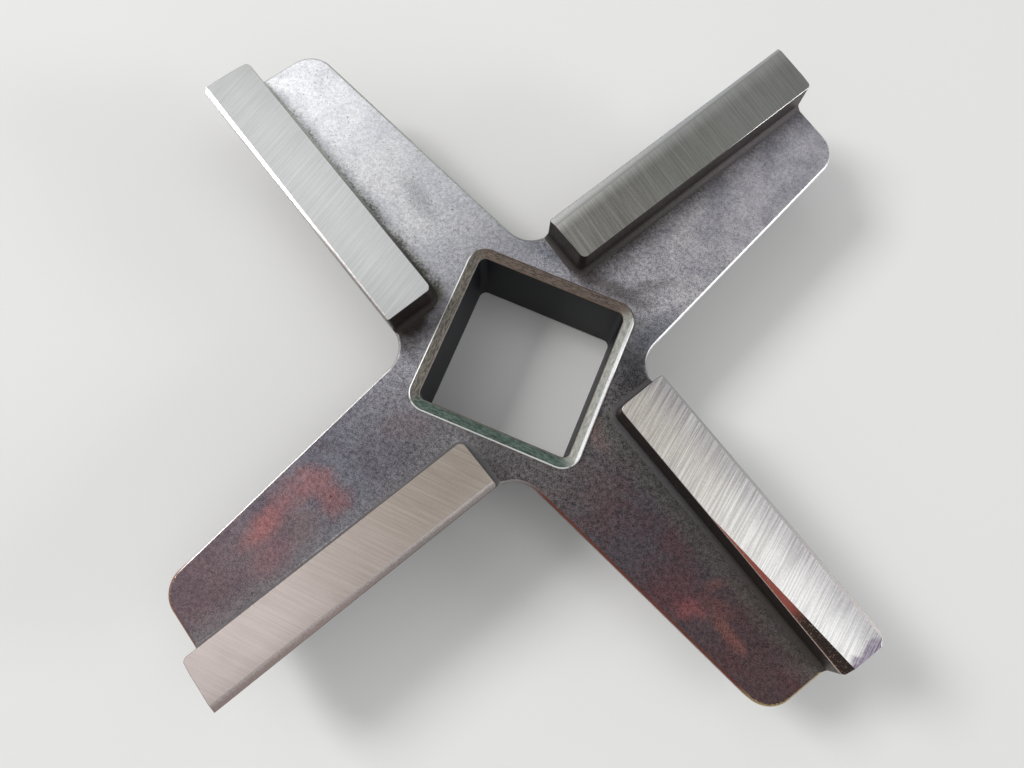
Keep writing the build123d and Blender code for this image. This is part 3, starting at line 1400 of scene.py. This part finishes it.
@dataclass(frozen=True)
class Softbox:
    """A square lamp.

    Attributes:
        name: the lamp's name.
        turn: its direction from +X, in degrees.
        rise: its direction above the floor, in degrees.
        distance: how far it stands, in metres.
        size: its width, in metres.
        radiance: how bright its face is, where 1 is white.
        colour: its colour.
    """

    name: str
    turn: float
    rise: float
    distance: float
    size: float
    radiance: float
    colour: Colour

    def build(self) -> None:
        """Makes the lamp, aimed at the knife."""
        turn, rise = math.radians(self.turn), math.radians(self.rise)
        way = Vector((math.cos(rise) * math.cos(turn), math.cos(rise) * math.sin(turn), math.sin(rise)))
        data = bpy.data.lights.new(self.name, "AREA")
        data.shape = "SQUARE"
        data.size = self.size
        data.energy = self.radiance * math.pi * self.size**2
        data.color = self.colour
        lamp = bpy.data.objects.new(self.name, data)
        lamp.location = way * self.distance
        lamp.rotation_euler = way.to_track_quat("Z", "Y").to_euler()
        bpy.context.scene.collection.objects.link(lamp)


@dataclass(frozen=True)
class Studio:
    """The plain floor, the soft surroundings and the camera.

    Attributes:
        floor_colour: the floor's colour.
        floor_size: its width, in metres.
        floor_roughness: how dull it is.
        floor_shine: its specular level.
        dark_way: the direction that the surroundings are darkest in.
        patch: where the dark patch starts and is full, as cosines of the angle to its middle.
        bright: how bright they are overhead.
        low: how bright they are near the floor.
        dim: the share of that which is left in the darkest direction.
        eye: the camera's place, in millimetres.
        aim: the camera's turn about X, Y and Z, in degrees.
        lens: the camera's focal length, in millimetres.
        sensor: the width of its sensor, in millimetres.
        clip: how near and how far it sees, in metres.
        lamps: the lamps.
    """

    floor_colour: Colour = (0.8, 0.8, 0.79)
    floor_size: float = 3.0
    floor_roughness: float = 0.9
    floor_shine: float = 0.2
    dark_way: Point = (0.112, 0.633, 0.766)
    patch: Pair = (0.84, 0.97)
    bright: float = 0.7
    low: float = 0.22
    dim: float = 0.28
    eye: Point = (2.756, -11.623, 54.303)
    aim: Point = (11.842, -1.524, 22.766)
    lens: float = 27.26
    sensor: float = 36.0
    clip: Pair = (0.001, 10.0)
    lamps: tuple[Softbox, ...] = (
        Softbox("window", 180.0, 45.0, 0.45, 0.13, 19.0, (1.0, 0.99, 0.98)),
        Softbox("skylight", 150.0, 62.0, 0.5, 0.24, 0.9, (0.98, 0.99, 1.0)),
        Softbox("side", 12.0, 20.0, 0.5, 0.16, 9.0, (0.98, 0.99, 1.0)),
        Softbox("fill", 22.0, 68.0, 0.5, 0.26, 1.1, (0.98, 0.99, 1.0)),
    )

    def build(self) -> None:
        """Makes the floor, the surroundings, the lamps and the camera."""
        self.lay_floor()
        self.light()
        self.set_camera()

    def lay_floor(self) -> None:
        """Lays the plain pale floor at the foot of the collar."""
        bpy.ops.object.select_all(action="DESELECT")
        bpy.ops.mesh.primitive_plane_add(size=self.floor_size, location=(0.0, 0.0, 0.0))
        floor = bpy.context.active_object
        floor.name = "floor"
        paint = new_surface("floor_paint")
        paint.shader.inputs["Base Color"].default_value = (*self.floor_colour, 1.0)
        paint.shader.inputs["Roughness"].default_value = self.floor_roughness
        paint.shader.inputs["Specular IOR Level"].default_value = self.floor_shine
        floor.data.materials.append(paint.material)

    def light(self) -> None:
        """Sets soft surroundings, with a dark patch that one arm mirrors, and the lamps."""
        world = bpy.data.worlds.new("surroundings")
        world.use_nodes = True
        world.node_tree.nodes.clear()
        graph = Graph(world.node_tree)
        way = graph.add("ShaderNodeTexCoord").outputs["Generated"]
        sky = graph.span(graph.axes(way)[2], 0.1, 0.9, self.low, self.bright)
        near_dark = graph.towards(way, Vector(self.dark_way).normalized())
        clear = graph.span(near_dark, *self.patch, to_low=1.0, to_high=self.dim)
        background = graph.add("ShaderNodeBackground")
        graph.feed(background.inputs["Strength"], graph.sum("MULTIPLY", sky, clear))
        output = graph.add("ShaderNodeOutputWorld")
        graph.feed(output.inputs["Surface"], background.outputs[0])
        bpy.context.scene.world = world
        for lamp in self.lamps:
            lamp.build()

    def set_camera(self) -> None:
        """Sets the camera where the photograph was taken from."""
        data = bpy.data.cameras.new("camera")
        data.sensor_width = self.sensor
        data.lens = self.lens
        data.clip_start, data.clip_end = self.clip
        camera = bpy.data.objects.new("camera", data)
        camera.location = Vector(self.eye) * MM
        camera.rotation_euler = [math.radians(angle) for angle in self.aim]
        bpy.context.scene.collection.objects.link(camera)
        bpy.context.scene.camera = camera


# The colours of the leading sides and, for each arm, of the bar's foot, inwards and outwards; the feet's
# colours carry painted shade
LEAD_SIDE = (shade(120, 114, 110), shade(240, 238, 234))
BAR_FEET = (
    (shade(62, 56, 55), shade(108, 102, 103)),
    (shade(42, 36, 33), shade(212, 214, 206)),
    (shade(105, 104, 106), shade(117, 112, 114)),
    (shade(88, 85, 87), shade(67, 62, 59)),
)


def make_finishes() -> list[Material]:
    """Makes every material of the casting.

    Returns:
        The materials, with the bars' corners' first.
    """
    groups = Groups()
    corners = tuple((arm.corner, arm.corner_outer) for arm in ARMS)
    made = [
        # The bars' corners: worn bevels whose colours are painted highlights, lighter on some arms than on
        # others.
        ArmSteel(Finish.CORNER.value, corners, (18.0, 22.0), roughness=0.3).build(groups),
        CastSkin().build(groups),
        WebEdge().build(groups),
        PlainSteel(Finish.BAR_SIDE.value, shade(92, 84, 80), shade(66, 58, 56), roughness=0.45).build(),
        ArmSteel(Finish.LEAD_SIDE.value, (LEAD_SIDE,) * len(ARMS), (10.0, 19.0)).build(groups),
        ArmSteel(Finish.FOOT.value, BAR_FEET, (6.4, 22.0), roughness=0.7, metallic=0.2).build(groups),
        Rim().build(groups),
        RimEdge().build(groups),
        # The bore walls are near black and faintly blue: painted shade of the deep bore, with a faint
        # painted reflection of blue.
        PlainSteel(Finish.BORE.value, shade(26, 29, 36), shade(18, 20, 26), roughness=0.5, metallic=0.0,
                   depth=0.004, shine=0.2).build(),
        LowSide().build(groups),
    ]
    for number in range(len(ARMS)):
        made.append(GroundSteel(number).build(groups))
        made.append(EdgeStrip(number).build(groups))
    return made


def main() -> None:
    """Builds the casting, its floor, lamps and camera."""
    logging.basicConfig(level=logging.INFO, format="%(name)s: %(message)s")
    Studio().build()
    piece = KnifeCasting().build(make_finishes())
    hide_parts("knife")
    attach(piece, "root")
    LOG.info("%s: %d faces", piece.name, len(piece.data.polygons))
    bpy.context.scene.view_settings.view_transform = "Standard"


if __name__ == "__main__":
    main()
